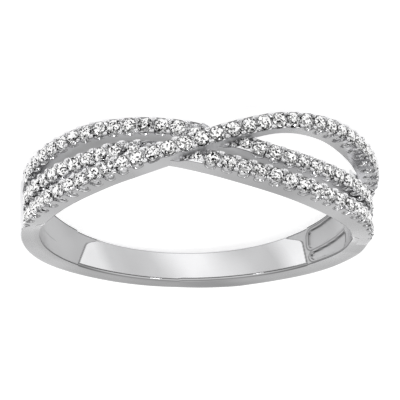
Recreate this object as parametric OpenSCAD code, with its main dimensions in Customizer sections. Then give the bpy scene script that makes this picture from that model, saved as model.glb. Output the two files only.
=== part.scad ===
/* [Size] */
// Inside diameter of the ring, where the finger goes
bore_d = 17.3; // [16.5:0.1:18.1]
// Thickness of the plain shank at the back of the finger
back_t = 1.1; // [0.9:0.05:1.3]
// Half width of the plain shank at the back of the finger
back_half_w = 0.9; // [0.8:0.02:1]

/* [Strands] */
// Width of each set strand
strand_w = 0.94; // [0.9:0.01:0.98]
// Depth of the scallops cut in a strand's side walls, below its crest
scallop_depth = 0.52; // [0.45:0.01:0.6]
// Height of the small prongs above the strand's crest
prong_h = 0.04; // [0.02:0.01:0.08]

/* [Stones] */
// Diameter of each round stone
stone_d = 0.77; // [0.72:0.01:0.79]
// Distance from one stone's centre to the next, along the strand
pitch = 0.925; // [0.92:0.005:0.95]
// Table diameter as a share of the stone's diameter
table_share = 0.56; // [0.5:0.01:0.62]

/* [Recess inside the shoulders] */
// How deep the inner face of each shoulder is hollowed
recess_depth = 0.2; // [0.15:0.05:0.35]
// Rim left along both edges of the recess
recess_rim = 0.34; // [0.25:0.01:0.45]

/* [Hidden] */

// Angles run round the finger from the middle of the front, and rise towards the viewer's right.
// Heights are measured along the finger from the mid plane of the ring.
bore_r = bore_d / 2;
stone_r = stone_d / 2;
crown_h = 0.1;
pavilion_h = 0.32;
stone_sides = 8;

// Columns of a strand's table
ANGLE = 0;
HEIGHT = 1;
CREST = 2;
UNDER = 3;

// Each strand's centre line: angle, height, then how far its crest and its underside stand off the bore
UPPER = [
    [-100, -0.85, 0.80, -0.15],
    [-88, -1.08, 1.10, -0.15],
    [-76, -1.20, 1.18, -0.15],
    [-62, -1.28, 1.27, -0.15],
    [-46, -1.37, 1.30, -0.15],
    [-28, -1.16, 1.30, -0.15],
    [-12, -0.72, 1.30, -0.15],
    [4, -0.10, 1.30, -0.15],
    [18, 0.40, 1.30, -0.15],
    [36, 0.62, 1.32, -0.15],
    [54, 0.58, 1.32, -0.15],
    [70, 0.45, 1.30, -0.15],
    [84, 0.32, 1.20, -0.15],
    [100, 0.25, 0.80, -0.15],
];
MIDDLE = [
    [-100, 0.05, 0.80, -0.15],
    [-88, 0.12, 1.10, -0.15],
    [-76, 0.17, 1.16, -0.15],
    [-62, 0.22, 1.24, -0.15],
    [-46, 0.22, 1.27, -0.15],
    [-32, 0.13, 1.30, -0.15],
    [-18, 0.45, 1.30, -0.15],
    [-4, 1.00, 1.30, -0.15],
    [10, 1.50, 1.30, -0.15],
    [24, 1.82, 1.32, -0.15],
    [40, 2.00, 1.33, -0.15],
    [56, 1.93, 1.33, -0.15],
    [70, 1.68, 1.30, -0.15],
    [84, 1.36, 1.20, -0.15],
    [100, 0.96, 0.80, -0.15],
];
OVER = [
    [-102, 0.86, 0.80, -0.15],
    [-90, 1.06, 1.05, -0.15],
    [-78, 1.29, 1.10, -0.15],
    [-64, 1.36, 1.20, -0.15],
    [-48, 1.28, 1.27, -0.15],
    [-34, 1.03, 1.35, -0.05],
    [-20, 0.70, 1.50, 0.15],
    [-6, 0.12, 1.65, 0.35],
    [8, -0.70, 1.70, 0.60],
    [22, -1.45, 1.72, 0.80],
    [38, -1.84, 1.72, 0.62],
    [54, -1.86, 1.70, 0.45],
    [68, -1.74, 1.68, 0.48],
    [80, -1.65, 1.64, 0.46],
    [92, -1.40, 1.34, 0.10],
    [108, -0.90, 0.80, -0.15],
];

// Each strand: its table, the angle of its first stone, and how many stones it could hold end to end
PATH = 0;
FIRST = 1;
COUNT = 2;
upper_strand = [UPPER, -81.7, 32];
middle_strand = [MIDDLE, -81.7, 32];
over_strand = [OVER, -84.4, 34];

// Index of the table's row that starts the stretch holding angle a
function stretch(rows, a, k = 0) =
    k >= len(rows) - 2 || rows[k + 1][ANGLE] > a ? k : stretch(rows, a, k + 1);

// Slope of column c at row k, from its neighbours
function tangent(rows, k, c) =
    let (p = max(k - 1, 0), q = min(k + 1, len(rows) - 1))
    (rows[q][c] - rows[p][c]) / (rows[q][ANGLE] - rows[p][ANGLE]);

// Column c at angle a, on a smooth cubic through the rows
function value(rows, a, c) =
    let (
        k = stretch(rows, a),
        span = rows[k + 1][ANGLE] - rows[k][ANGLE],
        t = (a - rows[k][ANGLE]) / span
    )
    (2 * t^3 - 3 * t^2 + 1) * rows[k][c] + (3 * t^2 - 2 * t^3) * rows[k + 1][c]
    + span * ((t^3 - 2 * t^2 + t) * tangent(rows, k, c) + (t^3 - t^2) * tangent(rows, k + 1, c));

function crest_r(rows, a) = bore_r + value(rows, a, CREST);

// Rise of the strand along the finger for each millimetre round it, taken over one degree
function rise(rows, a) =
    (value(rows, a + 0.5, HEIGHT) - value(rows, a - 0.5, HEIGHT)) / (crest_r(rows, a) * PI / 180);

// Angle reached after running the distance d along the strand from angle a, by the run half way there
function advance(rows, a, d) =
    let (
        half_way = a + d / 2 / crest_r(rows, a) * 180 / PI,
        run = crest_r(rows, half_way) * sqrt(1 + rise(rows, half_way)^2)
    )
    a + d / run * 180 / PI;

// Angles along a strand, half a pitch apart: a prong, a stone, a prong and so on
function marks(strand) =
    let (rows = strand[PATH], start = advance(rows, strand[FIRST], -pitch / 2))
    [for (i = 0, a = start; i <= 2 * strand[COUNT]; i = i + 1, a = advance(rows, a, pitch / 2)) a];

function point(a, r, h) = [-r * sin(a), -r * cos(a), h];

// Point across the strand by u and up from its crest by v, square to the strand's run
function across(rows, a, u, v) =
    let (
        r = crest_r(rows, a),
        slope = rise(rows, a),
        share = 1 / sqrt(1 + slope^2)
    )
    point(a - u * slope * share / r * 180 / PI, r + v, value(rows, a, HEIGHT) + u * share);

// Depths below a strand's crest: the stone's girdle, the saddle between two stones, the rim of a plain
// stretch, and the strand itself where it dives under the crossing one
girdle_drop = 0.1;
saddle_drop = 0.27;
rim_drop = 0.03;
dive_drop = 0.36;
// Metal keeps this far from a stone, and a wall's top edge is eased by this much
stone_gap = 0.025;
ease = 0.02;
// How far a prong reaches in from the wall
prong_w = 0.09;

// One side of a strand's section from its foot to its middle: across, then up from the crest.
// At a stone the wall dips in a scallop, between stones it rises in prongs, past the last it is plain,
// and where the strand dives under the crossing one it lies lower.
STONE = 0;
PRONG = 1;
PLAIN = 2;
DIVE = 3;
function side(kind, foot) =
    let (half = strand_w / 2, seat = -girdle_drop - ease)
    kind == STONE ? [
        [half, foot],
        [half, -scallop_depth],
        [half - ease, seat - 0.03],
        [stone_r + stone_gap, seat],
        [stone_r - stone_gap, seat - 0.045],
        [0, seat - pavilion_h - ease],
    ] : kind == PRONG ? [
        [half, foot],
        [half, -0.6 * scallop_depth],
        [half, -rim_drop],
        [half - prong_w, prong_h],
        [half - 1.5 * prong_w, -0.55 * saddle_drop],
        [0, -saddle_drop],
    ] : kind == DIVE ? [
        [half, foot],
        [half, -1.5 * dive_drop],
        [half - ease, -dive_drop - ease],
        [half - prong_w, -dive_drop],
        [half - 2 * prong_w, -dive_drop],
        [0, -dive_drop - 0.1],
    ] : [
        [half, foot],
        [half, -0.5 * scallop_depth],
        [half, -4 * rim_drop],
        [half - prong_w, -rim_drop],
        [half - 2 * prong_w, -rim_drop / 3],
        [0, 0],
    ];

// A whole section: the side at plus u, then its mirror image back down
function section(rows, a, kind) =
    let (
        foot = value(rows, a, UNDER) - value(rows, a, CREST),
        half = side(kind, foot),
        last = len(half) - 1
    )
    [
        for (p = half) across(rows, a, p[0], p[1]),
        for (i = [last - 1 : -1 : 0]) across(rows, a, -half[i][0], half[i][1]),
    ];

// Solid through a row of sections, closed at both ends by a fan from the middle of each end
module loft(sections) {
    n = len(sections[0]);
    m = len(sections);
    mid = (n - 1) / 2;
    fan = [for (j = [mid + 1 : mid + n - 2]) [mid, (j + 1) % n, j % n]];
    polyhedron(
        points = [for (s = sections) each s],
        faces = [
            each fan,
            for (i = [0 : m - 2], j = [0 : n - 1])
                each [
                    [i * n + j, (i + 1) * n + (j + 1) % n, (i + 1) * n + j],
                    [i * n + j, i * n + (j + 1) % n, (i + 1) * n + (j + 1) % n],
                ],
            for (f = fan) [for (j = [2 : -1 : 0]) (m - 1) * n + f[j]],
        ]
    );
}

// True where the crossing strand leaves no room for a stone of the strand under it
function covered(rows, a) =
    let (gap = abs(value(rows, a, HEIGHT) - value(OVER, a, HEIGHT)) / sqrt(1 + rise(OVER, a)^2))
    rows != OVER && gap < strand_w / 2 + stone_r + stone_gap;

module strand_metal(strand) {
    rows = strand[PATH];
    spots = marks(strand);
    last = len(spots) - 1;
    lead = rows[0][ANGLE];
    tail = rows[len(rows) - 1][ANGLE];
    loft([
        section(rows, lead, PLAIN),
        section(rows, (lead + spots[0]) / 2, PLAIN),
        for (i = [0 : last])
            section(rows, spots[i], covered(rows, spots[i]) ? DIVE : i % 2 == 0 ? PRONG : STONE),
        section(rows, (tail + spots[last]) / 2, PLAIN),
        section(rows, tail, PLAIN),
    ]);
}

// Shank outline: angle from the front, then the half width of its near and far edges, left and right
SHANK = [
    [72, 1.83, 2.05, 1.62, 2.26],
    [84, 1.69, 1.84, 1.60, 2.08],
    [92, 1.56, 1.69, 1.54, 1.87],
    [102, 1.40, 1.47, 1.42, 1.58],
    [120, 1.18, 1.14, 1.25, 1.29],
    [150, 0.93, 0.86, 1.00, 1.01],
    [180, 0.90, 0.90, 0.95, 0.95],
];
NEAR_LEFT = 1;
NEAR_RIGHT = 2;
FAR_LEFT = 3;
FAR_RIGHT = 4;
LEFT = 1;
RIGHT = -1;
mid_r = bore_r + back_t / 2;
// The table is drawn for the half width of its last row, at the back
BACK = 180;
drawn_half_w = SHANK[len(SHANK) - 1][NEAR_LEFT];
// Degrees between two points of an outline, and a size well past the ring for cutters
outline_step = 6;
past_ring = 2;

// Thickness of the shank: angle from the front, then left and right. It is most behind the shoulders.
THICK = [
    [72, 1.10, 1.10],
    [92, 1.14, 1.17],
    [104, 1.23, 1.32],
    [116, 1.35, 1.45],
    [130, 1.43, 1.55],
    [145, 1.36, 1.50],
    [160, 1.22, 1.32],
    [180, 1.10, 1.10],
];
THICK_LEFT = 1;
THICK_RIGHT = 2;
drawn_t = THICK[len(THICK) - 1][THICK_LEFT];

// The shank carries the strands from here, and a thinner web joins them a little further forward
shank_start = 88;
web_start = 80;
web_end = 89;
web_t = 0.58;
recess_start = 84;
left_recess_end = 141;
right_recess_end = 128;

// Points along one edge of the shank between two angles, moved in by inset; up is 1 or -1
function edge(c, start, end, inset, up) =
    let (n = ceil((end - start) / outline_step))
    [
        for (i = [0 : n])
            let (a = start + (end - start) * i / n)
            [-mid_r * cos(a), up * (value(SHANK, a, c) * back_half_w / drawn_half_w - inset)]
    ];

// One side of the shank between two angles: its side view made solid from the axis outwards
module flank(side, start, end, inset) {
    near = edge(side == LEFT ? NEAR_LEFT : NEAR_RIGHT, start, end, inset, 1);
    far = edge(side == LEFT ? FAR_LEFT : FAR_RIGHT, start, end, inset, -1);
    reach = bore_r + past_ring;
    behind = end == BACK ? [for (row = [near, far]) [reach, row[len(row) - 1][1]]] : [];
    rotate([90, 0, 90])
        translate([0, 0, side == LEFT ? 0 : -reach])
            linear_extrude(reach)
                polygon([each near, each behind, for (i = [len(far) - 1 : -1 : 0]) far[i]]);
}

// A round cutter on the finger's axis, taller than the ring
plug_h = strand_w + 4 * past_ring;
module plug(r) {
    translate([0, 0, -plug_h / 2]) cylinder(r = r, h = plug_h, $fn = 96);
}

// Points of the shank's outer face on one side, from where the web starts to the back
function outer_face(side) =
    let (n = ceil(2 * (BACK - web_start) / outline_step))
    [
        for (i = [0 : n])
            let (
                a = web_start + (BACK - web_start) * i / n,
                thick = value(THICK, a, side == LEFT ? THICK_LEFT : THICK_RIGHT) * back_t / drawn_t
            )
            (bore_r + thick) * [side * sin(a), -cos(a)]
    ];

// Everything inside the shank's outer face, as tall as a plug
module within_outer_face() {
    left = outer_face(LEFT);
    right = outer_face(RIGHT);
    translate([0, 0, -plug_h / 2])
        linear_extrude(plug_h)
            polygon([each left, for (i = [len(right) - 2 : -1 : 0]) right[i]]);
}

module shank() {
    intersection() {
        within_outer_face();
        union() {
            flank(LEFT, shank_start, BACK, 0);
            flank(RIGHT, shank_start, BACK, 0);
        }
    }
    intersection() {
        plug(bore_r + web_t);
        union() {
            flank(LEFT, web_start, web_end, 0);
            flank(RIGHT, web_start, web_end, 0);
        }
    }
}

module recess() {
    intersection() {
        plug(bore_r + recess_depth);
        union() {
            flank(LEFT, recess_start, left_recess_end, recess_rim);
            flank(RIGHT, recess_start, right_recess_end, recess_rim);
        }
    }
}

// How the ring leans when it lies on its side, touching at two strands and at the back of the shank
lean_back = 4;
lean_side = 2;
module at_rest() { rotate([-lean_back, lean_side, 0]) children(); }

module band() {
    color("gainsboro")
        at_rest()
            difference() {
                union() {
                    shank();
                    strand_metal(upper_strand);
                    strand_metal(middle_strand);
                    strand_metal(over_strand);
                }
                plug(bore_r);
                recess();
            }
}

// A cut stone with its table up: a flat table, a ring of crown facets, a girdle and a pointed pavilion
module stone(rows, a) {
    n = stone_sides;
    turns = [for (i = [0 : n - 1]) (i + 0.5) * 360 / n];
    corners = [
        across(rows, a, 0, -girdle_drop - pavilion_h),
        for (t = turns) across_turn(rows, a, stone_r, t, -girdle_drop),
        for (t = turns) across_turn(rows, a, stone_r * table_share, t, crown_h - girdle_drop),
    ];
    polyhedron(
        points = corners,
        faces = [
            for (i = [0 : n - 1]) [0, 1 + (i + 1) % n, 1 + i],
            for (i = [0 : n - 1])
                each [
                    [1 + i, 1 + (i + 1) % n, 1 + n + (i + 1) % n],
                    [1 + i, 1 + n + (i + 1) % n, 1 + n + i],
                ],
            [for (i = [0 : n - 1]) 1 + n + i],
        ]
    );
}

// Point on a stone seated at angle a: out by d from its axis at the turn t, and up by v
function across_turn(rows, a, d, t, v) =
    let (
        r = crest_r(rows, a),
        slope = rise(rows, a),
        share = 1 / sqrt(1 + slope^2),
        along = d * cos(t),
        aside = d * sin(t),
        round_by = (along - aside * slope) * share,
        base = point(a, r + v, value(rows, a, HEIGHT) + (aside + along * slope) * share)
    )
    base + round_by * [-cos(a), sin(a), 0];

module stones(strand) {
    rows = strand[PATH];
    spots = marks(strand);
    color("aliceblue")
        at_rest()
            for (i = [1 : 2 : len(spots) - 1])
                if (!covered(rows, spots[i])) stone(rows, spots[i]);
}

module stones_upper() { stones(upper_strand); }
module stones_middle() { stones(middle_strand); }
module stones_over() { stones(over_strand); }

band();
stones_upper();
stones_middle();
stones_over();
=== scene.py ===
# %% [markdown]
# # A three-strand ring, lying on its side
#
# Two strands of small round stones run side by side round the front of the finger, and a third
# crosses over both. Behind the shoulders they join in a plain polished shank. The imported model
# holds the plain solids. This lesson dresses them: the strands get seats, scooped walls and prongs,
# the stones get their real facets, and the shank gets soft edges and hollow shoulders.

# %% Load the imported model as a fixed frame
import math

import bpy
import numpy as np
from mathutils import Matrix, Vector


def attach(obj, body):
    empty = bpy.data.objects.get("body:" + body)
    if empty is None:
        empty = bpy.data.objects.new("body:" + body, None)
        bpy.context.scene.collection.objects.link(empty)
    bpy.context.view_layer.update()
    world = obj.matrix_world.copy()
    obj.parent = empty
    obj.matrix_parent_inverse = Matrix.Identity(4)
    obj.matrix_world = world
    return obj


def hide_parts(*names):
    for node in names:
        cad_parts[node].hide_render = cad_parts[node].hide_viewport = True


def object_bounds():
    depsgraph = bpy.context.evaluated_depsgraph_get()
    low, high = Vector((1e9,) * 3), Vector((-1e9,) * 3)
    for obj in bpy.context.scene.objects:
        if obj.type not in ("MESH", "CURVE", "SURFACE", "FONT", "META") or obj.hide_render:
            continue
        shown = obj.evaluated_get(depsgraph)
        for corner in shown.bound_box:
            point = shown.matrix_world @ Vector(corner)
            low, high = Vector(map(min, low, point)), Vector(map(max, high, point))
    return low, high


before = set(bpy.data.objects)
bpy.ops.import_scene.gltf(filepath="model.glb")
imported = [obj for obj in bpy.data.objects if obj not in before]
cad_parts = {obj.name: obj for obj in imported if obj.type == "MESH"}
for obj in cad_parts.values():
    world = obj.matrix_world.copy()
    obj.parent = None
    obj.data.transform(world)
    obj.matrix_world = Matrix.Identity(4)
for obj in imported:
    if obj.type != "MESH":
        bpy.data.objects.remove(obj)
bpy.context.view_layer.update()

# %% [markdown]
# ## How the ring is measured
#
# A ring is easiest to describe as the goldsmith sees it on a mandrel: by an angle round the finger,
# a distance from its axis and a height along it. The front is at angle nought, angles rise to the
# viewer's right, and heights towards the side face that the viewer sees. All sizes are in
# millimetres until the last step, which leans the ring as it rests and makes them metres.

# %% From ring measures to places in the scene
BORE_R = 8.65  # inside radius
BACK_T = 1.1  # thickness of the plain shank at the back
LEAN_BACK = 4.0  # degrees that the ring leans when it rests on its side
LEAN_SIDE = 2.0

LEAN = np.array(
    Matrix.Rotation(math.radians(LEAN_SIDE), 3, "Y")
    @ Matrix.Rotation(math.radians(-LEAN_BACK), 3, "X")
)


def place(angle, r, z):
    """Point at an angle in degrees, a radius and a height: (-r sin, -r cos, height)."""
    a = np.radians(angle)
    return np.stack(np.broadcast_arrays(-r * np.sin(a), -r * np.cos(a), z), axis=-1)


def in_scene(points):
    """Ring points in millimetres, leaned over and in metres."""
    return points @ LEAN.T * 0.001


def smooth_step(x):
    """0 below 0, 1 above 1, and 3x^2 - 2x^3 between."""
    x = np.clip(x, 0.0, 1.0)
    return x * x * (3 - 2 * x)


print("finger axis leans to", np.round(LEAN[:, 2], 4))

# %% [markdown]
# ## Paths of the strands
#
# Each strand is a narrow ribbon of metal bent round the finger. A drawn curve could be its path, but
# a short table is easier to change. At a few angles it says how high the ribbon's middle runs, how
# far its crest stands off the bore and where its underside is. It is the solid model's own table, so
# the dressed strand stays on the solid.

# %% Tables of the strands
ANGLE, HEIGHT, CREST, UNDER = range(4)

UPPER = np.array([
    [-100, -0.85, 0.80, -0.15], [-88, -1.08, 1.10, -0.15], [-76, -1.20, 1.18, -0.15],
    [-62, -1.28, 1.27, -0.15], [-46, -1.37, 1.30, -0.15], [-28, -1.16, 1.30, -0.15],
    [-12, -0.72, 1.30, -0.15], [4, -0.10, 1.30, -0.15], [18, 0.40, 1.30, -0.15],
    [36, 0.62, 1.32, -0.15], [54, 0.58, 1.32, -0.15], [70, 0.45, 1.30, -0.15],
    [84, 0.32, 1.20, -0.15], [100, 0.25, 0.80, -0.15],
])
MIDDLE = np.array([
    [-100, 0.05, 0.80, -0.15], [-88, 0.12, 1.10, -0.15], [-76, 0.17, 1.16, -0.15],
    [-62, 0.22, 1.24, -0.15], [-46, 0.22, 1.27, -0.15], [-32, 0.13, 1.30, -0.15],
    [-18, 0.45, 1.30, -0.15], [-4, 1.00, 1.30, -0.15], [10, 1.50, 1.30, -0.15],
    [24, 1.82, 1.32, -0.15], [40, 2.00, 1.33, -0.15], [56, 1.93, 1.33, -0.15],
    [70, 1.68, 1.30, -0.15], [84, 1.36, 1.20, -0.15], [100, 0.96, 0.80, -0.15],
])
OVER = np.array([
    [-102, 0.86, 0.80, -0.15], [-90, 1.06, 1.05, -0.15], [-78, 1.29, 1.10, -0.15],
    [-64, 1.36, 1.20, -0.15], [-48, 1.28, 1.27, -0.15], [-34, 1.03, 1.35, -0.05],
    [-20, 0.70, 1.50, 0.15], [-6, 0.12, 1.65, 0.35], [8, -0.70, 1.70, 0.60],
    [22, -1.45, 1.72, 0.80], [38, -1.84, 1.72, 0.62], [54, -1.86, 1.70, 0.45],
    [68, -1.74, 1.68, 0.48], [80, -1.65, 1.64, 0.46], [92, -1.40, 1.34, 0.10],
    [108, -0.90, 0.80, -0.15],
])
print("rows in the tables:", len(UPPER), len(MIDDLE), len(OVER))

# %% [markdown]
# ## The curve through a table
#
# A real strand has no corners, so a smooth cubic goes through its rows. Stones are spaced by the
# length run along the strand, not by angle, so that length is summed up in fine steps.

# %% Smooth values between the rows
def value(rows, a, column):
    """A column of a table at the angles a: the cubic (2t^3-3t^2+1) v0 + (3t^2-2t^3) v1 plus the
    span times (t^3-2t^2+t) s0 + (t^3-t^2) s1, with slopes s from the neighbouring rows."""
    at, v = rows[:, ANGLE], rows[:, column]
    n = len(at)
    before, after = np.maximum(np.arange(n) - 1, 0), np.minimum(np.arange(n) + 1, n - 1)
    s = (v[after] - v[before]) / (at[after] - at[before])
    k = np.clip(np.searchsorted(at, a, side="right") - 1, 0, n - 2)
    span = at[k + 1] - at[k]
    t = (a - at[k]) / span
    return (
        (2 * t**3 - 3 * t**2 + 1) * v[k] + (3 * t**2 - 2 * t**3) * v[k + 1]
        + span * ((t**3 - 2 * t**2 + t) * s[k] + (t**3 - t**2) * s[k + 1])
    )


def crest_r(rows, a):
    """Distance of a strand's crest from the finger's axis."""
    return BORE_R + value(rows, a, CREST)


def rise(rows, a):
    """Millimetres that the strand climbs for each millimetre round the finger."""
    climb = value(rows, a + 0.5, HEIGHT) - value(rows, a - 0.5, HEIGHT)
    return climb / np.radians(crest_r(rows, a))


def run_length(rows):
    """Fine angles along a strand, and the length run from its start to each."""
    a = np.linspace(rows[0, ANGLE], rows[-1, ANGLE], 4001)
    stretch = np.radians(crest_r(rows, a)) * np.sqrt(1 + rise(rows, a) ** 2)
    steps = 0.5 * (stretch[1:] + stretch[:-1]) * np.diff(a)
    return a, np.concatenate([[0.0], np.cumsum(steps)])


print("lengths, mm:", [round(run_length(rows)[1][-1], 2) for rows in (UPPER, MIDDLE, OVER)])

# %% [markdown]
# ## Across a strand
#
# A point on a strand is given by its station's angle, how far across it lies and how far above the
# crest. Across is square to the strand's run, so where the strand slants, a step across is partly a
# step round the finger. The same rule carries the stones and prongs.

# %% Points across a strand
STRAND_W = 0.94  # width of a strand
HALF_W = STRAND_W / 2


def across(rows, a, along, u, v):
    """Point beside the station at angle a: along the strand's run, u across it and v above it.
    Round the finger it moves (along - u slope) / sqrt(1 + slope^2), and in height by
    (u + along slope) / sqrt(1 + slope^2)."""
    r, slope = crest_r(rows, a), rise(rows, a)
    share = 1 / np.sqrt(1 + slope**2)
    turn = np.degrees((along - u * slope) * share / r)
    return place(a + turn, r + v, value(rows, a, HEIGHT) + (u + along * slope) * share)


def gap_to_over(rows, a, u=0.0):
    """How far a point u across a strand is from the crossing strand's middle line, square to it."""
    slope = rise(rows, a)
    share = 1 / np.sqrt(1 + slope**2)
    there = a - np.degrees(u * slope * share / crest_r(rows, a))
    gap = np.abs(value(rows, a, HEIGHT) + u * share - value(OVER, there, HEIGHT))
    return gap / np.sqrt(1 + rise(OVER, there) ** 2)


print("a strand is", STRAND_W, "mm wide")

# %% [markdown]
# ## Where the stones go
#
# The setter marks the row from end to end at one pitch. The two lower strands dive under the third,
# so no stone sits where it would cover them. Asking every stone how far the crossing strand is
# leaves out the hidden ones without a list of numbers.

# %% Places of the stones
PITCH = 0.925  # from one stone to the next
CLEAR_FAR = 0.45  # nearer than this to the crossing strand's middle line there is no stone,
CLEAR_NEAR = 0.85  # on its far side and on its near side
STRANDS = {
    "upper": dict(rows=UPPER, first=-81.7, count=32),
    "middle": dict(rows=MIDDLE, first=-81.7, count=32),
    "over": dict(rows=OVER, first=-84.4, count=34),
}


def angle_of_run(strand, run):
    """The angle at which a strand has run a length."""
    return np.interp(run, strand["lengths"], strand["angles"])


def on_near_side(strand):
    """Which stones lie nearer to the viewer than the crossing strand."""
    a = strand["stone_angles"]
    return value(strand["rows"], a, HEIGHT) > value(OVER, a, HEIGHT)


for name, strand in STRANDS.items():
    rows = strand["rows"]
    strand["angles"], strand["lengths"] = run_length(rows)
    start = np.interp(strand["first"], strand["angles"], strand["lengths"])
    strand["stone_runs"] = start + PITCH * np.arange(strand["count"])
    strand["stone_angles"] = a = angle_of_run(strand, strand["stone_runs"])
    room = gap_to_over(rows, a) - np.where(on_near_side(strand), CLEAR_NEAR, CLEAR_FAR)
    strand["shown"] = (room > 0) | (rows is OVER)
    print(name, "stones:", strand["shown"].sum(), "seen, of", strand["count"], "end to end")

# %% [markdown]
# ## A mesh from a grid
#
# Most pieces here are a section carried along a path. A curve with a bevel could do that, but its
# section can't change on the way. Here the points form a grid of quads, one row for each section,
# with an end face at both ends. A finish may read numbers stored on the points.

# %% Mesh helpers
def add_object(name, data):
    """An object in the scene for a mesh, a lamp or a camera."""
    thing = bpy.data.objects.new(name, data)
    bpy.context.scene.collection.objects.link(thing)
    return thing


def new_piece(name, points, faces, material, flat=False, sharp=None):
    """A mesh object with its place in its points. Round, across and outwards make a left hand in
    Blender's axes, so each face is listed backwards to face out."""
    mesh = bpy.data.meshes.new(name)
    mesh.from_pydata(in_scene(points.reshape(-1, 3)), [], [face[::-1] for face in faces])
    mesh.validate()
    mesh.materials.append(material)
    if flat:
        mesh.shade_flat()
    else:
        mesh.shade_smooth()
        if sharp:
            mesh.set_sharp_from_angle(angle=math.radians(sharp))
    piece = add_object(name, mesh)
    print(name, len(mesh.vertices), "points", len(mesh.polygons), "faces")
    return piece


def tube_faces(rows, columns):
    """Quads of a closed section carried along a path, and its two end faces."""
    i, j = np.meshgrid(np.arange(rows - 1), np.arange(columns), indexing="ij")
    k = (j + 1) % columns
    quads = np.stack([i * columns + j, i * columns + k, (i + 1) * columns + k, (i + 1) * columns + j], -1)
    ends = [list(range(columns))[::-1], [(rows - 1) * columns + c for c in range(columns)]]
    return quads.reshape(-1, 4).tolist() + ends


def mark_points(piece, label, amount):
    """Write one number for each point of a piece, for its finish to read."""
    layer = piece.data.attributes.new(label, "FLOAT", "POINT")
    layer.data.foreach_set("value", np.ascontiguousarray(amount, dtype=np.float32).ravel())


print("a tube of 3 sections with 4 points has", len(tube_faces(3, 4)), "faces")

# %% [markdown]
# ## Nodes for the finishes
#
# A finish is a chain of nodes: a pattern, some arithmetic, and the surface shader at the end. A few
# helpers keep each finish short.

# %% Node helpers
def add_node(tree, kind, values, **settings):
    """A node with settings, and a value or another node's output for each socket."""
    node = tree.nodes.new("ShaderNode" + kind)
    for setting, choice in settings.items():
        setattr(node, setting, choice)
    for socket, amount in values.items():
        if isinstance(amount, bpy.types.NodeSocket):
            tree.links.new(amount, node.inputs[socket])
        else:
            node.inputs[socket].default_value = amount
    return node


def times_plus(tree, a, b, c=0.0):
    """The value a b + c."""
    return add_node(tree, "Math", {0: a, 1: b, 2: c}, operation="MULTIPLY_ADD").outputs["Value"]


def stored(tree, label):
    """The number stored on the mesh's points under a label, or 0 where there is none."""
    return add_node(tree, "Attribute", {}, attribute_name=label).outputs["Fac"]


def ramp(tree, source, stops):
    """A colour or grey that follows a value through stops of (place, colour or grey)."""
    node = add_node(tree, "ValToRGB", {"Fac": source})
    elements = node.color_ramp.elements
    for at, _ in stops[2:]:
        elements.new(at)
    for element, (at, colour) in zip(elements, stops):
        element.position = at
        element.color = (*np.broadcast_to(colour, 3), 1)
    return node.outputs["Color"]


def new_finish(name, **values):
    """A material, its nodes and its shader, with values for the shader's sockets."""
    material = bpy.data.materials.new(name)
    material.use_nodes = True
    shader = material.node_tree.nodes["Principled BSDF"]
    for socket, amount in values.items():
        shader.inputs[socket.replace("_", " ")].default_value = amount
    return material, material.node_tree, shader


print("node helpers are ready")

# %% [markdown]
# ## White gold
#
# White gold is a nearly colourless metal with a bright polish. A metal has only its tint, so its
# look comes from what it mirrors and how evenly it is polished. The polish here varies a little,
# with a faint ripple left by the buffing wheel.
#
# Where the wheel can't reach, the same metal is rougher and its tint is painted darker, a painted
# shade, and a tight corner or edge is painted as a dark line. A second material for each such place
# would leave hard borders. So the mesh stores three numbers: the duller polish, which also paints
# shade or, below nought, a painted highlight; the painted shade of lines and darker tones; and satin,
# which only roughens. The finish follows them smoothly.

# %% White gold finish
WHITE_GOLD = np.array([0.80, 0.80, 0.81])
CLOUD_SCALE = 240.0  # slow clouds in the tint, about 4 mm across
WEAR_SCALE = 900.0  # fine wear in the polish, about 1 mm across
RIPPLE_HEIGHT = 0.00002  # metres
# Painted shade: how far the tint darkens for the duller polish and for the painted lines and tones
DULL_PAINTED_SHADE, PAINTED_SHADE_TINT = 0.3, 0.75
DULL_ROUGH, SATIN_ROUGH = 0.15, 0.4


def white_gold(name, rough, ripple, cloud=0.0):
    """A polished metal. Its tint is brighter and darker by the share cloud, its roughness wanders by
    a quarter, and a shallow bump bends its reflections a little. As painted shade, the tint is
    multiplied by (1 - 0.3 duller polish) (1 - 0.75 painted shade), and the roughness grows by 0.15 for
    the duller polish + 0.4 satin."""
    material, tree, shader = new_finish(name, Metallic=1.0)
    spot = add_node(tree, "TexCoord", {}).outputs["Object"]
    clouds = add_node(tree, "TexNoise", {"Vector": spot, "Scale": CLOUD_SCALE, "Detail": 1.0})
    shade = ramp(tree, clouds.outputs["Fac"],
                 [(0.35, WHITE_GOLD * (1 - cloud)), (0.65, WHITE_GOLD * (1 + cloud))])
    dull_and_painted_light, painted_shade = stored(tree, "dull_and_painted_light"), stored(tree, "painted_shade")
    # Painted shade and highlight in the tint, from the duller polish and the painted lines and tones
    light = times_plus(tree, times_plus(tree, dull_and_painted_light, -DULL_PAINTED_SHADE, 1.0),
                       times_plus(tree, painted_shade, -PAINTED_SHADE_TINT, 1.0))
    tint = add_node(tree, "VectorMath", {0: shade, "Scale": light}, operation="SCALE")
    tree.links.new(tint.outputs[0], shader.inputs["Base Color"])
    wear = add_node(tree, "TexNoise", {"Vector": spot, "Scale": WEAR_SCALE, "Detail": 3.0}).outputs["Fac"]
    worn = add_node(tree, "MapRange", {"Value": wear, "To Min": rough * 0.75, "To Max": rough * 1.25})
    duller = times_plus(tree, dull_and_painted_light, DULL_ROUGH, worn.outputs["Result"])
    tree.links.new(times_plus(tree, stored(tree, "satin"), SATIN_ROUGH, duller), shader.inputs["Roughness"])
    bump = add_node(tree, "Bump", {"Height": wear, "Strength": ripple, "Distance": RIPPLE_HEIGHT})
    tree.links.new(bump.outputs["Normal"], shader.inputs["Normal"])
    return material


polished = white_gold("polished white gold", 0.16, 0.15, cloud=0.10)
print("finish:", polished.name)

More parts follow.
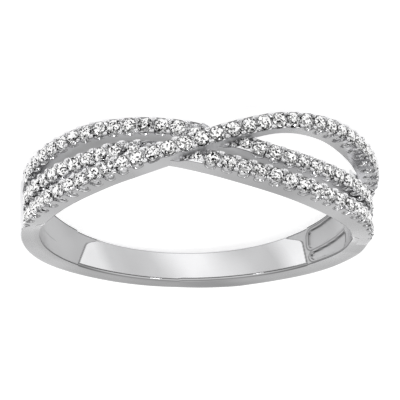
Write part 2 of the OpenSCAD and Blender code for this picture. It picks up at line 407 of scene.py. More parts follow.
# %% [markdown]
# ## Facets too small to model
#
# Between the stones the setter's graver leaves tiny bright flats, each turned its own way. Modelled,
# they would be millions of faces, and a bump is too soft. Instead the surface is split into small
# cells, and each tilts the surface's normal in its own way.

# %% Bright cut white gold
def cut_by_cells(tree, scale, amount):
    """Tilt a surface in small flat cells: the normal plus (cell colour - 1/2) times an amount, made
    unit length. Gives the cells' colour."""
    def vectors(operation, values):
        return add_node(tree, "VectorMath", values, operation=operation).outputs[0]

    spot = add_node(tree, "TexCoord", {}).outputs["Object"]
    colour = add_node(tree, "TexVoronoi", {"Vector": spot, "Scale": scale}).outputs["Color"]
    centred = vectors("SUBTRACT", {0: colour, 1: (0.5, 0.5, 0.5)})
    tilt = vectors("SCALE", {0: centred, "Scale": amount})
    normal = add_node(tree, "NewGeometry", {}).outputs["Normal"]
    unit = vectors("NORMALIZE", {0: vectors("ADD", {0: normal, 1: tilt})})
    tree.links.new(unit, tree.nodes["Principled BSDF"].inputs["Normal"])
    return colour


bright_cut = white_gold("bright cut white gold", 0.08, 0.0)
cut_by_cells(bright_cut.node_tree, 11000.0, 0.9)
print("finish:", bright_cut.name)

# %% [markdown]
# ## A strand's setting
#
# Small stones are set so close that little metal shows. The setter drills a cone-shaped seat for
# every stone, cuts a scoop through the side wall under it to let light in, and leaves four small
# prongs where two stones and the wall meet. Booleans would take thousands of cuts. Instead the top
# of the strand is a height above the crest, worked out from the distance to the nearest stone, and
# the scoop is a dip in the same height.

# %% Height of the setting
STONE_R = 0.41  # stones nearly touch
GIRDLE_DROP = 0.10  # girdle plane below the crest
SEAT_R = STONE_R + 0.012
SCOOP_R = 0.33  # half width of a scoop
SCOOP_IN = 0.22  # a scoop starts this deep under the stone and gets deeper to the wall
PLAIN_TOP = -0.03  # top of the strand where there is no stone
RIM_SLOPE = 0.45  # the rim outside the stones slopes down to the near wall


def setting_top(x, u, near, far):
    """Height above the crest at x along from the nearest stone's middle and u across.
    The seat is a cone inside its rim, and the saddle between two stones dips between the prongs.
    A scoop is its depth times (1 - (x / half width)^3)^(1/3), with the depth rising from under
    the stone to near or far at the wall."""
    d = np.hypot(x, u)
    rim = smooth_step((SEAT_R + 0.01 - d) / 0.02)
    seat = -GIRDLE_DROP - 0.03 - 0.8 * np.maximum(SEAT_R - d, 0)
    saddle = 0.13 * smooth_step((0.3 - np.abs(u)) / 0.2)
    slope = RIM_SLOPE * np.maximum(u - 0.40, 0)
    top = (PLAIN_TOP - saddle - slope) * (1 - rim) + seat * rim
    way_out = np.clip((np.abs(u) - 0.22) / (HALF_W - 0.22), 0, 1)
    depth = SCOOP_IN + (np.where(u > 0, near, far) - SCOOP_IN) * way_out
    round_part = np.cbrt(np.maximum(1 - np.abs(x / SCOOP_R) ** 3, 0))
    return np.minimum(top, -depth * round_part)


half_steps = np.array([0, 0.07, 0.14, 0.20, 0.25, 0.285, 0.308, 0.322, SCOOP_R - 4e-4, SCOOP_R + 2e-3,
                       0.345, 0.36, 0.375, 0.39, 0.405, 0.42, 0.44])
pitch_steps = np.concatenate([-half_steps[:0:-1], half_steps, [PITCH / 2]])
half_across = np.array([0, 0.07, 0.13, 0.19, 0.25, 0.30, 0.34, 0.37, 0.39, 0.405, 0.418, 0.43, 0.445, 0.46])
across_steps = np.concatenate([half_across[::-1], -half_across[1:]])
print(len(pitch_steps), "stations a stone,", len(across_steps), "points across")

# %% [markdown]
# ## Under the crossing
#
# The two lower strands dip where the third lies on them, so that it doesn't stand up too high. The
# dip is one more height, worked out from the distance to the crossing strand.

# %% Top of a strand
COVER_DROP = 0.36  # the metal runs lower where the crossing strand lies on it
DIP = 0.40  # and both strands under it dip beside it
FAR_SCOOP = 0.15  # depth of the scoops in the far walls
BY_A_STONE = 0.9 * PITCH  # a station counts as beside a stone nearer than this


def dip(rows, a, u=0.0):
    """How much lower a strand runs beside the crossing one, at a point u across it. It counts
    only where the strand's own middle line comes near the crossing strand's."""
    if rows is OVER:
        return 0 * a
    crossing = smooth_step((1.0 - gap_to_over(rows, a)) / 0.12)
    return DIP * crossing * smooth_step((0.95 - gap_to_over(rows, a, u)) / 0.35)


def strand_top(rows, a, x, u, near):
    """The setting's height, less the dip, and lower still where the crossing strand covers it."""
    top = np.where(np.abs(x) < BY_A_STONE, setting_top(x, u, near, FAR_SCOOP), PLAIN_TOP)
    if rows is OVER:
        return top
    hidden = smooth_step((HALF_W - 0.01 - gap_to_over(rows, a, u)) / 0.06)
    return (top - dip(rows, a, u)) * (1 - hidden) + (PLAIN_TOP - COVER_DROP) * hidden


print("a covered strand runs", COVER_DROP, "mm lower")

# %% [markdown]
# ## Sweeping a strand
#
# The stations lie closest where the scoop is steep. Each section has the setting on top, two
# walls with slightly eased edges, and a bottom that is flush with the bore or, where the strand
# bridges over, as high as the table says. The near scoops are deepest where the wall is seen most.

# %% Sections of a strand
# Angles along each strand, and the depths of the scoops in its near wall there
STRANDS["upper"]["scoops"] = [-90, -20, 10, 30, 80], [0.36, 0.40, 0.45, 0.50, 0.45]
STRANDS["middle"]["scoops"] = [-90, -10, 5, 50, 66, 80], [0.50, 0.45, 0.60, 0.60, 0.42, 0.28]
STRANDS["over"]["scoops"] = ([-90, -75, -60, -38, -24, -16, 24, 36, 60, 80],
                             [0.30, 0.42, 0.80, 0.88, 0.45, 0.16, 0.16, 0.75, 0.92, 0.95])
PLAIN_STATIONS = 9  # at each end of a strand, past its stones
DOWN = np.array([0.004, 0.02, 0.06, 0.25, 0.6, 0.95, 1.0])  # shares of the way down a wall
WALL_U = HALF_W - np.array([0.005, 0.001, 0, 0, 0, 0, 0])  # a wall's top edge is drawn in
BOTTOM_U = np.array([-0.43, -0.3, -0.15, 0, 0.15, 0.3, 0.43])
SUNK = 0.42  # height of the bottom past the shoulders, inside the shank


def stations(strand):
    """Angle of every station, and how far along it is from its stone: a pitch where it has none."""
    first, last = strand["stone_runs"][[0, -1]]
    lead = np.linspace(0, first - PITCH / 2, PLAIN_STATIONS)
    set_runs = (strand["stone_runs"][:, None] + pitch_steps).ravel()
    tail = np.linspace(last + PITCH / 2, strand["lengths"][-1], PLAIN_STATIONS)[1:]
    beside = np.where(strand["shown"][:, None], pitch_steps, PITCH).ravel()
    x = np.concatenate([np.full(len(lead), PITCH), beside, np.full(len(tail), PITCH)])
    return angle_of_run(strand, np.concatenate([lead, set_runs, tail]))[:, None], x[:, None]


def round_section(count, top, far_wall, bottom, near_wall):
    """Values round all sections: over the top, down the far wall, back along the bottom and up the
    near wall, which is given from its top down too."""
    widths = len(across_steps), len(DOWN), len(BOTTOM_U), len(DOWN)
    parts = [np.broadcast_to(part, (count, width))
             for part, width in zip((top, far_wall, bottom, near_wall), widths)]
    return np.concatenate([*parts[:3], parts[3][:, ::-1]], axis=1)


def strand_points(strand, a, x):
    """Points of a strand: each wall goes straight down from the top's edge to the foot."""
    rows, u = strand["rows"], across_steps[None, :]
    top = strand_top(rows, a, x, u, np.interp(a, *strand["scoops"]))
    sunk = SUNK * smooth_step((np.abs(a) - 79) / 4)
    foot = np.maximum(value(rows, a, UNDER), sunk) - value(rows, a, CREST)
    near_v, far_v = (edge + (foot - edge) * DOWN for edge in (top[:, :1], top[:, -1:]))
    us = round_section(len(a), u, -WALL_U, BOTTOM_U, WALL_U)
    vs = round_section(len(a), top, far_v, foot, near_v)
    return across(rows, a, 0, us, vs)


print("sections:", [len(stations(strand)[0]) for strand in STRANDS.values()])

# %% [markdown]
# ## Painted lines and shade on a strand
#
# From afar an edge of polished metal is a fine dark line, because its tiny round mirrors something
# else than either face. To model each round would take many more points, so the lines are painted
# shade, stored on the points that are there: round each seat and along a wall's top and foot. The
# upper strand's near wall, beside the middle strand, is rougher and painted darker for the shade
# there, and the middle strand's near wall is painted darker along the right limb.

# %% Marks on a strand's points and faces
# Painted shade: the dark lines round each seat and along the walls
SEAT_LINE, EDGE_LINE = 0.6, 0.9  # how dark the lines round a seat and along a wall are
LIMB_PAINTED_SHADE = 0.22  # how much darker the right limb and the shank are painted, as a share of a painted line


def between(a, start, end, over_start, over_end):
    """1 between two angles, with a soft start and end that are so many degrees long."""
    return smooth_step((a - start) / over_start) * smooth_step((end - a) / over_end)


def strand_marks(name, a, x):
    """Painted lines and shade, the duller polish with its painted shade, and satin of a strand's points.
    A seat's painted line lies where the distance to its rim is under 0.05 mm."""
    ahead = np.abs(a)
    rim = np.abs(np.hypot(x, across_steps) - SEAT_R)
    # Painted dark lines along a wall's foot and top edge
    foot_line = EDGE_LINE * between(ahead, 48, 81, 10, 3) * (DOWN > 0.99)
    top_line = EDGE_LINE * smooth_step((87 - ahead) / 3) * (DOWN < 0.03)
    # Painted shade on the middle strand's near wall along the right limb
    limb = LIMB_PAINTED_SHADE * smooth_step((a - 40) / 30) * (name == "middle")
    lines = np.maximum(np.maximum(top_line, foot_line), limb)
    painted_shade = round_section(len(a), SEAT_LINE * smooth_step(1.3 - rim / 0.04), 0, 0, lines)
    # The upper strand's near wall is duller and painted darker for the shade from the middle strand; the
    # crossing strand's near wall is only satin
    near_wall = round_section(len(a), 0, 0, 0, 1)
    return painted_shade, near_wall * (name == "upper"), near_wall * (name == "over") * between(a, -32, 26, 8, 8)


def bright_faces(strand, a, x):
    """Which faces of the top are cut bright: those within a reach of the middle line, which is
    longer on the limbs and by deep scoops."""
    middle = np.abs(across_steps[:-1] + across_steps[1:]) / 2
    limb = smooth_step((np.abs(a) - 52) / 12)
    deep = smooth_step((np.interp(a, *strand["scoops"]) - 0.5) / 0.2)
    reach = 0.385 + 0.05 * np.maximum(deep, 2 * limb)
    set_here = (np.abs(x) < BY_A_STONE) | (np.abs(a) < 40)
    cut = (middle < reach) & set_here
    return cut[:-1] & cut[1:]


for name, strand in STRANDS.items():
    a, x = stations(strand)
    points = strand_points(strand, a, x)
    piece = new_piece(f"strand_{name}", points, tube_faces(*points.shape[:2]), polished, sharp=35)
    piece.data.materials.append(bright_cut)
    for label, amount in zip(("painted_shade", "dull_and_painted_light", "satin"), strand_marks(name, a, x)):
        mark_points(piece, label, amount)
    finish = np.zeros(len(piece.data.polygons), dtype=np.int32)
    finish[:-2].reshape(len(points) - 1, -1)[:, :len(across_steps) - 1] = bright_faces(strand, a, x)
    piece.data.polygons.foreach_set("material_index", finish)
    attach(piece, "root")

# %% [markdown]
# ## The shank
#
# Behind the shoulders the ring is one plain band: a flat inside, flat side faces, a rounded outside
# and small bright bevels where they meet. It is thin at the middle of the back and thickest beside
# it, so one table gives its thickness, and another its half widths. Between the strands it thins to
# a web.

# %% Outline of the shank
NEAR, FAR, THICKNESS = 1, 3, 1  # columns for the left, each with one for the right after it
SHANK = np.array([
    [72, 1.83, 2.05, 1.62, 2.26], [84, 1.69, 1.84, 1.60, 2.08], [92, 1.56, 1.69, 1.54, 1.87],
    [102, 1.40, 1.47, 1.42, 1.58], [120, 1.18, 1.14, 1.25, 1.29], [150, 0.93, 0.86, 1.00, 1.01],
    [180, 0.90, 0.90, 0.95, 0.95],
])
THICK = np.array([
    [72, 1.10, 1.10], [92, 1.14, 1.17], [104, 1.23, 1.32],
    [116, 1.35, 1.45], [130, 1.43, 1.55], [145, 1.36, 1.50],
    [160, 1.22, 1.32], [180, 1.10, 1.10],
])
MID_R = BORE_R + BACK_T / 2
WEB_T = 0.58  # thickness of the web between the strands
WEB_TIP = 0.14  # and at its front end, inside the strands
FLUSH = 0.004  # the shank's faces lie this far inside the strands' walls


def from_front(angle):
    """Degrees from the front, for an angle that runs right round from 0 to 360."""
    return np.minimum(angle, 360 - angle)


def wall_height(rows, a, side):
    """Height of a strand's near (1) or far (-1) wall at an angle, held past the table's end."""
    a = np.clip(a, rows[0, ANGLE], rows[-1, ANGLE])
    return value(rows, a, HEIGHT) + side * HALF_W / np.sqrt(1 + rise(rows, a) ** 2)


def of_side(rows, at, angle, column):
    """The left or right value of a table, as the angle lies left or right."""
    return np.where(angle < 180, value(rows, at, column + 1), value(rows, at, column))


def half_widths(angle, r):
    """Near and far half width. They follow the side view, so they depend on how far back the
    point is: the angle whose cosine is r cos / middle radius. Then they meet the strands' walls."""
    back = np.degrees(np.arccos(np.clip(r * np.cos(np.radians(angle)) / MID_R, -1, 1)))
    right, ahead = angle < 180, from_front(angle)
    near, far = (of_side(SHANK, back, angle, column) for column in (NEAR, FAR))
    near_wall = np.where(right, wall_height(MIDDLE, ahead, 1), wall_height(OVER, -ahead, 1))
    far_wall = -np.where(right, wall_height(OVER, ahead, -1), wall_height(UPPER, -ahead, -1))
    blend = smooth_step((104 - ahead) / 16)
    return near + (near_wall - FLUSH - near) * blend, far + (far_wall - FLUSH - far) * blend


def outer_face(angle):
    """Radius of the outer face, falling to the web between the strands."""
    ahead = from_front(angle)
    full = BORE_R + of_side(THICK, ahead, angle, THICKNESS)
    web = BORE_R + WEB_TIP + (WEB_T - WEB_TIP) * smooth_step((ahead - 80) / 5)
    return web + (full - web) * smooth_step((ahead - 85) / 6)


print("outer radius at the back, mm:", outer_face(np.array([180.0])).round(3))

# %% [markdown]
# ## Hollows inside the shoulders
#
# The inside of each shoulder is relieved, so the back of the shank stands up as a polished pad with
# a rounded corner. On the right two deeper pockets follow the strands with a ridge between them. On
# the left one shallow crease is all that shows. The depth is a sum of soft steps, each about a tenth
# of a millimetre wide.

# %% Depth of the hollows
RELIEF = 0.07  # how far the inside of a shoulder is cut back
POCKET = 0.12  # the two right pockets are this much deeper
LEFT_POCKET = 0.05  # and the left one this much
DEGREE = math.radians(1) * BORE_R  # millimetres round the bore


def soft_edge(distance, soft):
    """1 well inside an edge, 0 outside it, with a soft step across it."""
    return smooth_step(0.5 + distance / soft)


def rounded(along, aside, radius=0.3):
    """Distance inside the nearer of two edges, with the corner between them rounded off."""
    corner = radius - np.hypot(np.maximum(radius - along, 0), np.maximum(radius - aside, 0))
    return np.where((along < radius) & (aside < radius), corner, np.minimum(along, aside))


def relieved(angle, z):
    """1 where the inside of the shoulder is relieved, 0 on the pad. The pad's end slants a little
    and curves towards the back at its far corner."""
    right = angle < 180
    corner = np.where(right, 7.5, 6.0) * smooth_step((-z - 0.3) / 0.8) ** 1.5
    pad_end = np.where(right, 127.3 - 1.3 * z / 0.9, 139.2 - 2.7 * z / 0.9) + corner
    return soft_edge((pad_end - from_front(angle)) * DEGREE, 0.16)


def pockets(angle, z, near, far, wider=0.0, soft=0.08):
    """Share of a pocket's depth reached at an angle and a height. The right pockets may be drawn
    wider and softer than they are, for the line outside their edge."""
    ahead = from_front(angle)
    ends = np.minimum((125.2 - ahead) * DEGREE, (ahead - 98) * DEGREE)
    far_pocket = rounded(ends, np.minimum(0.12 - z, z + far - 0.30))
    near_pocket = rounded(ends - 0.15, np.minimum(z - 0.42, near - 0.26 - z))
    left_pocket = np.minimum((139.0 - ahead) * DEGREE, np.minimum(0.28 - z, z + far + 1.0))
    deep = np.maximum(soft_edge(far_pocket + wider, soft), soft_edge(near_pocket + wider, soft))
    return np.where(angle < 180, deep, soft_edge(left_pocket, 0.08))


def left_fade(angle):
    """The left pocket runs out towards the pad."""
    return np.where(angle < 180, 1.0, smooth_step((angle - 232) / 14))


def fade_in(angle):
    """The relief starts from nothing where the strands come in."""
    return smooth_step((from_front(angle) - 80) / 10)


def hollow(angle, z, near, far):
    """How far the bore's wall is cut back at an angle and a height."""
    depth = np.where(angle < 180, POCKET, LEFT_POCKET) * left_fade(angle)
    return fade_in(angle) * relieved(angle, z) * (RELIEF + depth * pockets(angle, z, near, far))


print("deepest hollow:", round(RELIEF + POCKET, 2), "mm")

# %% [markdown]
# ## Sweeping the shank
#
# A bevel modifier would round all edges alike, but the inner edge has a flat bevel and the outer one
# a round. So each point of the section is named by its share of the way from the inner to the outer
# face, its move out from there, its place across the width and its inset from the edge. One formula
# then places the section at every angle.

# %% Section of the shank
BEVEL = 0.14  # bevel of the inner edges
ROUND = 0.16  # radius of the outer edges
BEVEL_STEPS = [(0.015, 0.10), (0.03, 0.082), (0.083, 0.030), (0.10, 0.012)]  # moved out, drawn in
shank_angles = np.concatenate([
    np.arange(80, 92, 0.6), np.arange(92, 120, 1.0), np.arange(120, 146, 0.35), np.arange(146, 181, 2.0)
])
shank_angles = np.concatenate([shank_angles, 360 - shank_angles[-2::-1]])[:, None]


def shank_section():
    """Columns: share from inner to outer, move outwards, place across (0 far, 1 near), inset."""
    inner = [(0, 0, f, BEVEL) for f in np.linspace(0, 1, 61)]
    bevel = [(0, out, 1, inset) for out, inset in BEVEL_STEPS]
    side = [(0, BEVEL, 1, 0), (0.35, 0.06, 1, 0), (0.7, 0, 1, 0)]
    turn = np.radians(np.linspace(0, 90, 7))
    corner = [(1, -ROUND + ROUND * math.sin(p), 1, ROUND - ROUND * math.cos(p)) for p in turn]
    outer = [(1, 0, f, ROUND) for f in np.linspace(1, 0, 15)[1:-1]]
    near = bevel + side + corner
    mirrored = [(share, move, 0, inset) for share, move, _, inset in near[::-1]]
    return np.array(inner + near + outer + mirrored).T


def bevel_size(a):
    """The bevel is wide along the pad and narrow along the shoulders."""
    return 1.2 - 0.65 * relieved(a, 0.9)


def height_across(near, far, spot, inset):
    """Height of a point at a share of the width, less the inset at both edges."""
    return (near - far) / 2 + (spot - 0.5) * (near + far - 2 * inset)


def shank_points(a):
    """Points of the shank: bore radius + share thickness + move, cut back by the hollows inside."""
    share, move, spot, inset = shank_section()
    move, inset = (part * np.where(share == 0, bevel_size(a), 1) for part in (move, inset))
    thick = outer_face(a) - BORE_R
    r = BORE_R + thick * share + move * np.minimum(1, thick / 0.35)
    near, far = half_widths(a, r)
    z = height_across(near, far, spot, inset)
    r = r + hollow(a, z, near, far) * (share == 0) * (move < 0.9 * BEVEL * bevel_size(a))
    return place(a, r, z)


print(len(shank_angles), "sections of", shank_section().shape[1], "points")

# %% [markdown]
# ## Painted lines, shade, highlights and reflections on the shank
#
# The pad at the back is a bright mirror with broad light and dark streaks along it, from the room
# that it reflects. A lamp for each streak would light the stones too, so the streaks are painted
# reflections, carried by the polish's dullness. The hollows are rougher and painted darker, a soft
# step shows as a painted dark line, and the pockets have a second painted line just outside their
# edge. The bevel has a painted highlight between two fine painted dark lines, and the shank is
# painted a little darker, most outside and least on the left limb.

# %% Marks on the shank's points
LINE_APART = 0.15  # from a right pocket's edge to the second line round it
LINE_SOFT = 0.16  # width of that line's soft step
# Painted shade: the bevel's dark lines
BEVEL_LINE, SIDE_LINE = 0.95, 0.9  # how dark the bevel's lines are, inside and by the side face
# Angles along the pad, and its painted reflection streaks: above 0 duller and painted darker, below 0
# painted brighter than elsewhere
PAD_PAINTED_STREAKS = ([126, 134, 142, 151, 160, 169, 176, 189, 200, 208, 214, 222],
               [-0.6, -0.5, 0.6, 0.6, 0.1, -0.6, -0.6, 0.5, 0.7, 0.5, -0.5, -0.6])


def half_way(step):
    """1 where a soft step is half way and 0 at its ends: 4 s (1 - s)."""
    return 4 * step * (1 - step)


def inside_lines(a, z, near, far, step):
    """Painted dark lines on the inner face: the pad's end, the pockets' edges and the lines round those."""
    pad_end = np.minimum(1, 1.25 * half_way(step))
    edge = half_way(pockets(a, z, near, far))
    second = 0.9 * (a < 180) * half_way(pockets(a, z, near, far, LINE_APART, LINE_SOFT))
    return np.maximum(pad_end, step * left_fade(a) * np.maximum(edge, second))


def limb_painted_shade(a, share, spot):
    """How much darker the shank is painted, a painted shade: most outside, little where the left limb
    faces the light, and from nothing by the strands, except along the right limb."""
    behind = smooth_step((from_front(a) - 80) / 20)
    outside = (1 + 0.8 * share * behind) * (1 - smooth_step((a - 205) / 35))
    right_limb = (share > 0) & (spot == 1) & (a < 180)
    return LIMB_PAINTED_SHADE * np.where(share == 0, 1, outside) * np.where(right_limb, 1, behind)


def shank_marks(a):
    """The duller polish with its painted shade, and the painted lines and shade, of the shank's points.
    Inside, the duller polish is 1 in the hollows and follows the painted reflection streaks on the
    pad; on the bevel it is below 0, a painted highlight. The painted lines on the bevel fade where the
    shoulders are relieved."""
    share, move, spot, inset = shank_section()
    near, far = half_widths(a, BORE_R)
    z = height_across(near, far, spot, inset * bevel_size(a))
    step = relieved(a, z)
    inside, bevel = (share == 0) & (move == 0), (share == 0) & (move > 0)
    # Painted dark lines on the bevel and along the near edge of the hollows
    first_line = bevel * ((move < 0.02) + (move < 0.04) * step) + 0.6 * step * inside * (spot == 1)
    last_line = bevel & (move > 0.08) & (move < 0.12) & (spot == 1)
    bevel_lines = BEVEL_LINE * np.minimum(1, first_line) + SIDE_LINE * last_line * (1 - step)
    painted_shade = np.maximum(inside_lines(a, z, near, far, step) * inside, bevel_lines)
    painted_streaks = np.interp(a + 4 * z, *PAD_PAINTED_STREAKS)
    # Painted shade in the hollows, painted reflection streaks on the pad and a painted highlight on the
    # bevel
    dull_and_painted_light = (step * fade_in(a) + (1 - step) * painted_streaks) * inside - 0.6 * (1 - step) * bevel
    return dull_and_painted_light, np.maximum(painted_shade, limb_painted_shade(a, share, spot))


points = shank_points(shank_angles)
shank = new_piece("shank", points, tube_faces(*points.shape[:2]), polished, sharp=40)
for label, amount in zip(("dull_and_painted_light", "painted_shade"), shank_marks(shank_angles)):
    mark_points(shank, label, amount)
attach(shank, "root")
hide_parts("band")

# %% [markdown]
# ## Prongs
#
# Where two stones and the wall meet, the setter pushes up a small bead of metal and rounds it. From
# above it is a bright dot in the dark corner between two stones. A bead is a small ball with a few
# faces, and all beads of a strand are one mesh, made in one array.

# %% Prongs of every strand
BEAD_R = 0.095
BEAD_OUT = 0.36  # how far a bead sits from the strand's middle line
BEAD_DROP = 0.085  # its centre below the crest


def ball(columns=10, rings=6):
    """Points and faces of a closed ball of radius 1: rings of points between two poles."""
    tilt = np.linspace(0, np.pi, rings + 1)[1:-1, None]
    turn = np.arange(columns) * 2 * np.pi / columns
    ring = np.stack([np.sin(tilt) * np.cos(turn), np.sin(tilt) * np.sin(turn), np.cos(tilt) + 0 * turn], -1)
    points = np.concatenate([[[0, 0, 1]], ring.reshape(-1, 3), [[0, 0, -1]]])
    last = len(points) - 1
    at = lambda i, j: 1 + i * columns + j % columns
    faces = [[0, at(0, j), at(0, j + 1)] for j in range(columns)]
    faces += [[at(i, j), at(i + 1, j), at(i + 1, j + 1), at(i, j + 1)]
              for i in range(rings - 2) for j in range(columns)]
    faces += [[last, at(rings - 2, j + 1), at(rings - 2, j)] for j in range(columns)]
    return points, faces


def copies(faces, count, size):
    """The faces of one shape repeated for every copy, each copy's numbers moved on by its size."""
    return [[p + k * size for p in face] for k in range(count) for face in faces]


ball_points, ball_faces = ball()
for name, strand in STRANDS.items():
    rows = strand["rows"]
    runs = np.append(strand["stone_runs"] - PITCH / 2, strand["stone_runs"][-1] + PITCH / 2)
    a = np.repeat(angle_of_run(strand, runs), 2)
    side = np.tile([BEAD_OUT, -BEAD_OUT], len(runs))
    if rows is not OVER:
        seen = gap_to_over(rows, a, side) > HALF_W + BEAD_R / 2
        a, side = a[seen], side[seen]
    p = ball_points * BEAD_R
    lower = BEAD_DROP + dip(rows, a, side)[:, None]
    points = across(rows, a[:, None], p[:, 0], side[:, None] + p[:, 1], p[:, 2] - lower)
    piece = new_piece(f"prongs_{name}", points, copies(ball_faces, len(a), len(p)), polished)
    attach(piece, "root")

# %% [markdown]
# ## The stones
#
# A round brilliant has a flat table, a crown of stars, kites and small triangles, a thin girdle,
# and a pointed pavilion whose long facets throw the light back up. Its outline and its flashes come
# from these facets, so every stone has all of them.

# %% One brilliant
TABLE_SHARE = 0.56  # the table's radius, as a share of the stone's
CROWN_H = 0.115
PAVILION_H = 0.345
GIRDLE_T = 0.012


def brilliant():
    """Points and faces of a brilliant of radius STONE_R with its girdle at height nought.
    Kites and pavilion mains are flat: their middle corners lie on the plane through the outer and
    inner ones, height = crown (R - x) / (R - table)."""
    eighth = np.radians(45)
    k = np.arange(8)

    def ring(r, turn, z):
        return np.stack([r * np.cos(turn), r * np.sin(turn), np.full(len(turn), z)], -1)

    table_r, mid_r, low_r = TABLE_SHARE * STONE_R, 0.80 * STONE_R, 0.24 * STONE_R
    mid_z = CROWN_H * (STONE_R - mid_r * math.cos(eighth / 2)) / (STONE_R - table_r)
    low_z = -PAVILION_H * (1 - low_r * math.cos(eighth / 2) / STONE_R)
    rim = np.arange(16) * eighth / 2
    points = np.concatenate([
        ring(table_r, k * eighth, CROWN_H),
        ring(mid_r, (k + 0.5) * eighth, mid_z),
        ring(STONE_R, rim, GIRDLE_T / 2),
        ring(STONE_R, rim, -GIRDLE_T / 2),
        ring(low_r, (k + 0.5) * eighth, low_z),
        [[0, 0, -PAVILION_H]],
    ])
    mid, top, under, low, tip = 8, 16, 32, 48, 56  # first points of the rings after the table's
    faces = [list(range(8))]
    for i in range(8):
        j, h = (i + 1) % 8, (i - 1) % 8
        faces += [
            [i, mid + i, j],
            [i, mid + h, top + 2 * i, mid + i],
            [mid + i, top + 2 * i, top + 2 * i + 1],
            [mid + i, top + 2 * i + 1, top + 2 * j],
            [low + i, under + 2 * i + 1, under + 2 * i],
            [low + i, under + 2 * j, under + 2 * i + 1],
            [tip, low + i, under + 2 * i, low + h],
        ]
    faces += [[top + i, under + i, under + (i + 1) % 16, top + (i + 1) % 16] for i in range(16)]
    return points, faces


gem_points, gem_faces = brilliant()
print("a stone has", len(gem_faces), "facets")

# %% [markdown]
# ## What the stones are made of, and their painted flashes
#
# True glass facets a few pixels wide average out to an even grey. So the flashes are painted: a
# mosaic of tiny mirrors inside the real facets, each with its own tilt and a painted share of light,
# from black to brighter than white. Towards the girdle the stone is painted darker, a painted shade
# for the light that a real stone loses there.

# %% Stone finish
STONE_CELLS = 12000.0  # about 0.08 mm a cell
STONE_TILT = 0.7
# Painted flashes: how dark and how bright the cells are painted
DARK_CELL, LIGHT_CELL = -0.5, 2.6  # cells range from black, below 0, to brighter than white
# Painted light in a stone's middle falls to painted shade at its girdle, from this share of the radius
FALL_FROM = 0.45  # share of the radius where the light starts to fall
MIDDLE_LIGHT, RIM_LIGHT = 1.25, 0.7


def stone_with_painted_flashes():
    """A nearly mirror-like mosaic of painted flashes: each cell tilts the surface by (its colour - 1/2)
    times 0.7, and its red, stretched from dark to light and times the painted shade towards the
    girdle, is its tint."""
    material, tree, shader = new_finish(
        "stone with painted flashes", Transmission_Weight=1.0, Metallic=0.95, IOR=2.4, Roughness=0.0)
    colour = cut_by_cells(tree, STONE_CELLS, STONE_TILT)
    red = add_node(tree, "SeparateColor", {"Color": colour}).outputs["Red"]
    cell = add_node(tree, "MapRange", {"Value": red, "To Min": DARK_CELL, "To Max": LIGHT_CELL})
    painted_girdle_shade = add_node(tree, "MapRange", {"Value": stored(tree, "way_out"), "From Min": FALL_FROM,
                                       "To Min": MIDDLE_LIGHT, "To Max": RIM_LIGHT})
    tint = add_node(tree, "Math", {0: cell.outputs["Result"], 1: painted_girdle_shade.outputs["Result"]},
                    operation="MULTIPLY")
    tree.links.new(tint.outputs["Value"], shader.inputs["Base Color"])
    return material


stone_finish = stone_with_painted_flashes()
print("finish:", stone_finish.name)

# %% [markdown]
# ## Rows of stones
#
# No two stones sit exactly alike: each is turned about its axis and tipped by a degree or two, from
# a fixed seed. In the narrow corner where a strand comes out from under the crossing one, a full
# stone has no room. The setter fills it with ever smaller ones, and so does this cell.

# %% All stones of a strand
STONE_CLEAR = 0.03  # left between a corner stone and its neighbours
SMALLEST_R = 0.13
MOST_CORNER_STONES = 6
TIP = np.radians(1.5)


def corner_stones(strand):
    """Angles, places across and sizes of the stones in the corner. Each fits between the crossing
    strand and the near wall: half the gap less a little."""
    rows = strand["rows"]
    run = strand["stone_runs"][on_near_side(strand) & strand["shown"]][0]
    size, found = STONE_R, []
    while len(found) < MOST_CORNER_STONES:
        tries = run - size - np.linspace(0.12, 0.6, 49)
        gaps = gap_to_over(rows, angle_of_run(strand, tries))
        sizes = np.minimum(STONE_R, gaps / 2 - STONE_CLEAR)
        fits = sizes + size + STONE_CLEAR <= run - tries
        if not fits.any() or sizes[fits][0] < SMALLEST_R:
            break
        run, size = tries[fits][0], sizes[fits][0]
        found.append((angle_of_run(strand, run), HALF_W - size - STONE_CLEAR, size))
    return np.array(found)


chance = np.random.default_rng(7)
for name, strand in STRANDS.items():
    rows, a = strand["rows"], strand["stone_angles"][strand["shown"]]
    shift, size = np.zeros(len(a)), np.ones(len(a))
    if rows is not OVER:
        extra = corner_stones(strand)
        a, shift = np.append(a, extra[:, 0]), np.append(shift, extra[:, 1])
        size = np.append(size, extra[:, 2] / STONE_R)
    spin = chance.uniform(0, np.pi / 4, len(a))[:, None]
    tip_x, tip_y = chance.normal(0, TIP, (2, len(a), 1))
    x, y, z = gem_points.T
    along = x * np.cos(spin) - y * np.sin(spin)
    aside = x * np.sin(spin) + y * np.cos(spin)
    height = z - along * tip_x - aside * tip_y
    along, aside = along + z * tip_x, aside + z * tip_y
    lower = GIRDLE_DROP * (size > 0.999) + dip(rows, a, shift)
    along, aside, height = (size[:, None] * part for part in (along, aside, height))
    points = across(rows, a[:, None], along, shift[:, None] + aside, height - lower[:, None])
    piece = new_piece(f"brilliants_{name}", points, copies(gem_faces, len(a), len(gem_points)),
                      stone_finish, flat=True)
    mark_points(piece, "way_out", np.tile(np.hypot(x, y) / STONE_R, len(a)))
    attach(piece, "root")
    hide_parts(f"stones_{name}")

# %% [markdown]
# ## The table it lies on
#
# The ring lies on a plain white table that glows a little, as a light table does, so the ground stays
# white inside the ring too and only a faint shadow is left.

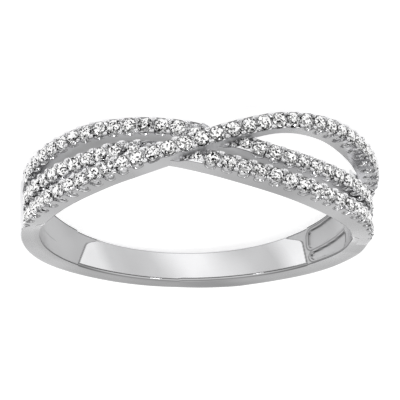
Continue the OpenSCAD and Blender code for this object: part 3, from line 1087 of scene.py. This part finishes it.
# %% White table
TABLE_HALF = 1.5  # metres
low_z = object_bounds()[0].z
floor_mesh = bpy.data.meshes.new("table_top")
corners = [(x * TABLE_HALF, y * TABLE_HALF, low_z) for x, y in ((-1, -1), (1, -1), (1, 1), (-1, 1))]
floor_mesh.from_pydata(corners, [], [(0, 1, 2, 3)])
floor = add_object("table_top", floor_mesh)
floor_mesh.materials.append(new_finish(
    "white table", Base_Color=(0.8, 0.8, 0.8, 1), Roughness=0.9, Specular_IOR_Level=0.0,
    Emission_Color=(1, 1, 1, 1), Emission_Strength=0.58)[0])
print("table at", round(1000 * low_z, 3), "mm")

# %% [markdown]
# ## Light
#
# Polished metal and cut stones show the room more than themselves. A plain white room makes both
# look like paper, so the sky here goes from dark at the viewer's side to a soft grey beyond, with a
# bright patch overhead.

# %% Sky
world = bpy.data.worlds.new("studio")
bpy.context.scene.world = world
world.use_nodes = True
tree = world.node_tree
direction = add_node(tree, "TexCoord", {}).outputs["Generated"]
parts = add_node(tree, "SeparateXYZ", {"Vector": direction}).outputs
front_sky = ramp(tree, parts["Z"], [(0.0, 0.50), (0.2, 0.32), (0.60, 0.28), (0.70, 0.9), (1.0, 0.8)])
back_sky = ramp(tree, parts["Z"], [(0.0, 0.7), (0.30, 0.6), (0.60, 0.45), (0.85, 0.8), (1.0, 1.0)])
beyond = add_node(tree, "MapRange", {"Value": parts["Y"], "From Min": -0.3, "From Max": 0.3},
                  interpolation_type="SMOOTHSTEP").outputs["Result"]
both = add_node(tree, "Mix", {"Factor": beyond, 6: front_sky, 7: back_sky}, data_type="RGBA")
tree.links.new(both.outputs[2], tree.nodes["Background"].inputs["Color"])
print("sky:", world.name)

# %% [markdown]
# ## Lamps
#
# Two small soft lamps stand to the left and right above the viewer, as a photographer's would. They
# add the highlights for which the sky is too even.

# %% Lamps
LAMP_SIZE, LAMP_POWER = 0.03, 0.05  # metres and watts


def lamp(name, spot):
    """A square soft lamp at a spot, turned to the ring, in metres."""
    data = bpy.data.lights.new(name, "AREA")
    data.shape = "SQUARE"
    data.size, data.energy = LAMP_SIZE, LAMP_POWER
    lamp_object = add_object(name, data)
    lamp_object.location = spot
    lamp_object.rotation_euler = (-Vector(spot)).to_track_quat("-Z", "Y").to_euler()


lamp("key", (-0.10, -0.16, 0.26))
lamp("fill", (0.22, -0.10, 0.18))
bpy.context.scene.view_settings.view_transform = "Standard"

# %% [markdown]
# ## Camera
#
# The viewer looks down at the ring from in front, a little from one side. The picture is turned
# upside down, because the ring lies on the side face that the picture shows at its top. The lens
# follows from the pixels that a millimetre takes.

# %% Camera
EYE_AWAY = 0.200  # metres
EYE_RISE, EYE_ROUND, EYE_ROLL = np.radians([22.5, 7.4, 179.0])
PICTURE = 400  # pixels across and down
PX_PER_MM = 17.9
CENTRE_PX = (195.7, 209.8)  # where the middle of the ring lies in the picture
SENSOR = 36.0

back = np.array([math.sin(EYE_ROUND) * math.cos(EYE_RISE), -math.cos(EYE_ROUND) * math.cos(EYE_RISE),
                 math.sin(EYE_RISE)])
level = np.array([math.cos(EYE_ROUND), math.sin(EYE_ROUND), 0])
upright = np.cross(back, level)
right_way = math.cos(EYE_ROLL) * level + math.sin(EYE_ROLL) * upright
up_way = -math.sin(EYE_ROLL) * level + math.cos(EYE_ROLL) * upright
axes = LEAN @ np.stack([right_way, up_way, back], axis=1)

camera_data = bpy.data.cameras.new("camera")
camera = add_object("camera", camera_data)
turned = Matrix(axes.tolist()).to_4x4()
turned.translation = Vector(axes[:, 2] * EYE_AWAY)
camera.matrix_world = turned
camera_data.sensor_width = SENSOR
camera_data.lens = PX_PER_MM * EYE_AWAY * 1000 / PICTURE * SENSOR
camera_data.shift_x = (PICTURE / 2 - CENTRE_PX[0]) / PICTURE
camera_data.shift_y = (CENTRE_PX[1] - PICTURE / 2) / PICTURE
camera_data.clip_start, camera_data.clip_end = 0.01, 10
bpy.context.scene.camera = camera
print("lens", round(camera_data.lens, 1), "mm, camera", round(1000 * camera.location.z, 1), "mm up")
